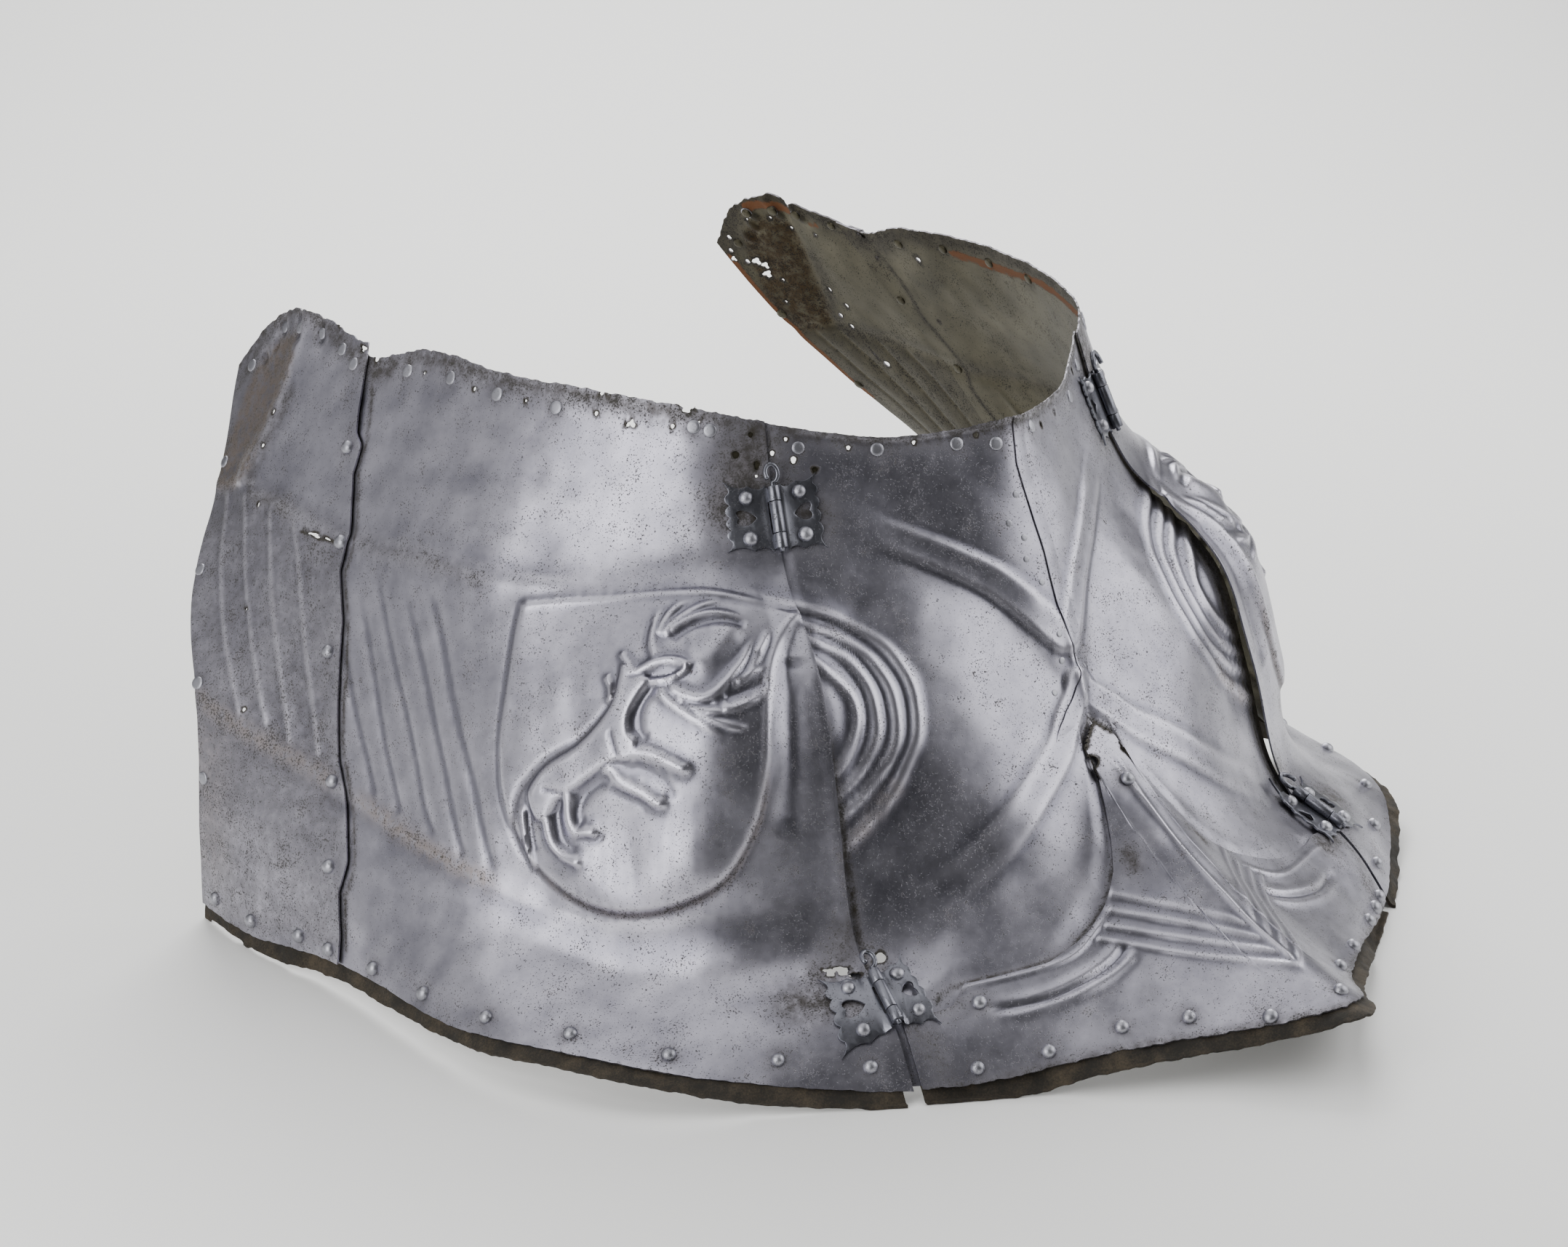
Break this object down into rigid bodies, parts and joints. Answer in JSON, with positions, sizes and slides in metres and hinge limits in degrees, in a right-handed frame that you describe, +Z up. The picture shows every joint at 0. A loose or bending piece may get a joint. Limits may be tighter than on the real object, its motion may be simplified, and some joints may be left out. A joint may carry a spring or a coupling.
{
  "type": "horse peytral",
  "caption": "Breast armour for a horse: three hinged embossed steel plates with a keeled lower flange, rear extensions and leather edge strips.",
  "frame": {"origin": "middle of the bounding box on the floor the armour stands on", "axes": "+Z up, -Y to the front where the keel points, -X to the horse's right, +Y to the open rear"},
  "size_m": [0.9828, 1.0439, 0.4899],
  "materials": {
    "steel": "satin, worn and pitted",
    "hinge_steel": "dull, worn",
    "hinge_pin": "dull, stained",
    "leather": "old, dry and dark at the edges"
  },
  "bodies": {
    "centre": {"centre_plate": "steel", "lower_flange": "steel", "centre_leather": "leather", "right_upper_hinge_centre_leaf": "hinge_steel", "right_lower_hinge_centre_leaf": "hinge_steel", "left_upper_hinge_centre_leaf": "hinge_steel", "left_lower_hinge_centre_leaf": "hinge_steel"},
    "right_flank": {"right_flank_plate": "steel", "right_rear_extension": "steel", "right_leather": "leather", "right_upper_hinge_flank_leaf": "hinge_steel", "right_upper_hinge_pin": "hinge_pin", "right_lower_hinge_flank_leaf": "hinge_steel", "right_lower_hinge_pin": "hinge_pin"},
    "left_flank": {"left_flank_plate": "steel", "left_rear_extension": "steel", "left_leather": "leather", "left_upper_hinge_flank_leaf": "hinge_steel", "left_upper_hinge_pin": "hinge_pin", "left_lower_hinge_flank_leaf": "hinge_steel", "left_lower_hinge_pin": "hinge_pin"}
  },
  "joints": [
    {"name": "right_flank_swing", "type": "hinge", "parent": "centre", "child": "right_flank", "pos_m": [-0.2342, -0.1601, 0.2389], "axis": [0.1908, 0.509, 0.8393], "range_deg": [-1.5, 5]},
    {"name": "left_flank_swing", "type": "hinge", "parent": "centre", "child": "left_flank", "pos_m": [0.2301, -0.1495, 0.2506], "axis": [0.1834, -0.4888, -0.8529], "range_deg": [-1.5, 5]}
  ]
}
